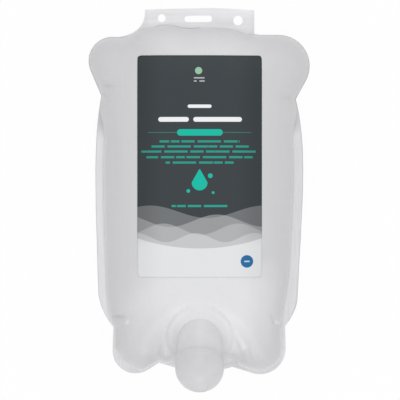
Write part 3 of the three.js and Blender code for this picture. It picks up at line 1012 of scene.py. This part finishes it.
def label_finish(piece, label):
    """Printed label: slate over white, with plain bars, a drop, discs and overlapping waves."""
    finish = Finish("label_print", piece)
    raw = finish.start.node("ShaderNodeUVMap", {}, 0, uv_map="print")
    u, v, _ = finish.parts(raw)
    slate, white, teal = colour(label.slate), colour(label.white), colour(label.teal)
    edge = EDGE_HEIGHT + u * u * EDGE_CURVE
    above = (v - edge).steps(-SOFT, SOFT)
    tone = above.between(white, slate)

    def paint(mask, ink, strength=1.0):
        nonlocal tone
        tone = (mask * strength if strength < 1 else mask).between(tone, ink)

    for level, height, pitch, phase, strength in WAVES:
        crest = (u * pitch + phase).sine() * height + level
        paint((v - crest).steps(-SOFT, SOFT, 1.0, 0.0) * above, white, strength)

    # A thin rule with a thick bar on it, the broken bars and the wide ones.
    paint(bar(u, v, -46, 46, 129, 0.5), teal, 0.45)
    paint(bar(u, v, -20, 20.5, 129, 5.8), teal)
    for height, half, phase in BROKEN_BARS:
        paint(bar(u, v, -half, half, height, BROKEN_THICK) * stretches(u, phase), teal, 0.62)
    paint(bar(u, v, -25, 25, 63.6, BROKEN_THICK) * stretches(u, 3.7), teal, 0.7)
    ink = colour((0.86, 0.87, 0.88))
    for left, right, height, thick in WIDE_BARS:
        paint(bar(u, v, left, right, height, thick), ink)

    # The drop narrows above its middle and is round below it.
    tip = (v - DROP_HEIGHT) / DROP_LENGTH
    wide = (1 - tip.largest(0.0)).largest(0.0)
    side = abs(u) / wide.largest(0.04)
    low = (DROP_HEIGHT - v).largest(0.0)
    inside = (side * side + low * low).root().steps(DROP_RADIUS - SOFT, DROP_RADIUS + SOFT, 1.0, 0.0)
    paint(inside * tip.steps(0.9, 0.97, 1.0, 0.0), teal)
    for x, y, radius in DOTS:
        paint(spot(u, v, x, y, radius), teal)

    # Plain discs with small bars, then painted shade along each side, stronger over the slate.
    paint(spot(u, v, -0.9, 184.1, 3.2), colour((0.35, 0.62, 0.42)), 0.85)
    for height in (177.6, 174.8):
        paint(bar(u, v, -5.2, 4.6, height, 1.2) * stretches(u, height), ink, 0.5)
    paint(spot(u, v, 42.1, 14.3, 5.6), colour(label.blue))
    paint(bar(u, v, 39.6, 44.6, 14.3, 1.2), ink, 0.7)
    side_shade = abs(u).steps(30.0, 54.0) * (v.steps(26.0, 40.0) * 0.11 + 0.07)
    tone = side_shade.between(tone, colour([0.0, 0.0, 0.0]))
    grain = finish.noise(finish.place(), 0.15, 2.0)
    finish.set(
        Base_Color=tone,
        Roughness=grain.steps(0.3, 0.7, 0.42, 0.5),
        Normal=finish.bump(grain, 0.12, 0.0004),
        Specular_IOR_Level=0.2,
    )


# The floor's side and the lamps' width in metres, and the camera's place off the spout's line in mm.
FLOOR_SIZE, LAMP_SIZE, CAMERA_OFF = 12, 0.9, (0.35, 0.95)


def make_stage(stage):
    """A pale floor, soft lamps, the room's light and the camera above."""
    clear_selection()
    bpy.ops.mesh.primitive_plane_add(size=FLOOR_SIZE)
    floor = bpy.context.object
    floor.name = floor.data.name = "floor"
    finish = Finish("pale_floor", floor)
    finish.set(Base_Color=(0.86, 0.86, 0.86, 1), Roughness=0.7)
    whiten(finish.tree, finish.shader.outputs[0], 0.96)
    clear_selection()

    world = bpy.data.worlds.new("room")
    bpy.context.scene.world = world
    world.use_nodes = True
    backdrop = world.node_tree.nodes["Background"]
    backdrop.inputs[0].default_value = (1, 1, 1, 1)
    backdrop.inputs[1].default_value = stage.room

    lamps = (
        ("upper_lamp", (0.1, 1.2, 1.2), stage.upper),
        ("lower_lamp", (0.0, -1.3, 1.1), stage.lower),
    )
    for name, place, power in lamps:
        light = bpy.data.lights.new(name, "AREA")
        light.shape, light.size, light.energy = "DISK", LAMP_SIZE, power
        lamp = bpy.data.objects.new(name, light)
        lamp.location = place
        lamp.rotation_euler = Vector(place).to_track_quat("Z", "Y").to_euler()
        bpy.context.collection.objects.link(lamp)

    camera_data = bpy.data.cameras.new("camera")
    camera_data.lens = stage.lens
    camera = bpy.data.objects.new("camera", camera_data)
    camera.location = (*(ORIGIN + np.array(CAMERA_OFF) * MM), stage.height)
    bpy.context.collection.objects.link(camera)
    bpy.context.scene.camera = camera
    bpy.context.scene.view_settings.view_transform = "Standard"


def whiten(tree, surface, share):
    """Shows a surface as plain white to the camera and in reflections, by a share of it."""
    light = tree.nodes.new("ShaderNodeLightPath")
    start = Wire(tree, None)
    kinds = ("Is Camera Ray", "Is Glossy Ray", "Is Transmission Ray")
    rays = [Wire(tree, light.outputs[kind]) for kind in kinds]
    seen = (rays[0] + rays[1] + rays[2]).smallest(1.0) * share
    glow = start.node("ShaderNodeEmission", {0: (1, 1, 1, 1), 1: 1.0})
    mixed = start.node("ShaderNodeMixShader", {0: seen, 1: Wire(tree, surface), 2: glow})
    output = next(node for node in tree.nodes if node.type == "OUTPUT_MATERIAL")
    tree.links.new(mixed.socket, output.inputs[0])


class REFILL_OT_pouch(bpy.types.Operator):
    """Build the filled film pouch"""

    bl_idname = "refill.pouch"
    bl_label = "Pouch"

    def execute(self, context):
        scene = context.scene
        piece = make_pouch(scene.refill_pouch, scene.refill_spout)
        film_finish(piece, scene.refill_pouch)
        adopt(piece, "filled_film", "pouch")
        return {"FINISHED"}


class REFILL_OT_tab(bpy.types.Operator):
    """Build the hanging tab"""

    bl_idname = "refill.tab"
    bl_label = "Hanging tab"

    def execute(self, context):
        scene = context.scene
        piece = make_tab(scene.refill_pouch)
        tab_finish(piece, scene.refill_pouch)
        adopt(piece, "filled_film", "pouch")
        return {"FINISHED"}


class REFILL_OT_spout(bpy.types.Operator):
    """Build the moulded spout and its closure"""

    bl_idname = "refill.spout"
    bl_label = "Spout and closure"

    def execute(self, context):
        scene = context.scene
        spout = scene.refill_spout
        moulding = make_spout(spout)
        plastic_finish(moulding, spout.neck_plastic, "spout_plastic")
        adopt(moulding, "moulded_spout", "spout")
        dome = make_closure(spout)
        plastic_finish(dome, spout.plastic, "closure_plastic")
        adopt(dome, "moulded_spout", "spout_closure")
        return {"FINISHED"}


class REFILL_OT_label(bpy.types.Operator):
    """Build the printed front label"""

    bl_idname = "refill.label"
    bl_label = "Label"

    def execute(self, context):
        scene = context.scene
        piece = label_mesh(scene.refill_pouch, scene.refill_spout, scene.refill_label)
        label_finish(piece, scene.refill_label)
        adopt(piece, "label_print", "label")
        return {"FINISHED"}


class REFILL_OT_stage(bpy.types.Operator):
    """Set up the floor, the lamps and the camera"""

    bl_idname = "refill.stage"
    bl_label = "Stage"

    def execute(self, context):
        scene = context.scene
        make_stage(scene.refill_stage)
        return {"FINISHED"}


OPERATORS = (REFILL_OT_stage, REFILL_OT_pouch, REFILL_OT_tab, REFILL_OT_spout, REFILL_OT_label)


class REFILL_PT_panel(bpy.types.Panel):
    """The pack's operators, in the 3D view's sidebar"""

    bl_label = "Refill Pack"
    bl_idname = "REFILL_PT_panel"
    bl_space_type = "VIEW_3D"
    bl_region_type = "UI"
    bl_category = "Refill Pack"

    def draw(self, context):
        for operator in OPERATORS:
            self.layout.operator(operator.bl_idname)


SETTINGS = {
    "refill_pouch": PouchSettings,
    "refill_spout": SpoutSettings,
    "refill_label": LabelSettings,
    "refill_stage": StageSettings,
}
CLASSES = (*SETTINGS.values(), *OPERATORS, REFILL_PT_panel)


def register():
    """Makes the settings, the operators and the panel known."""
    for cls in CLASSES:
        bpy.utils.register_class(cls)
    for name, group in SETTINGS.items():
        setattr(bpy.types.Scene, name, PointerProperty(type=group))


def unregister():
    """Takes them away again."""
    for name in SETTINGS:
        delattr(bpy.types.Scene, name)
    for cls in reversed(CLASSES):
        bpy.utils.unregister_class(cls)


def main():
    """Builds the pack and its stage."""
    register()
    for operator in OPERATORS:
        family, action = operator.bl_idname.split(".")
        getattr(getattr(bpy.ops, family), action)()


if __name__ == "__main__":
    main()
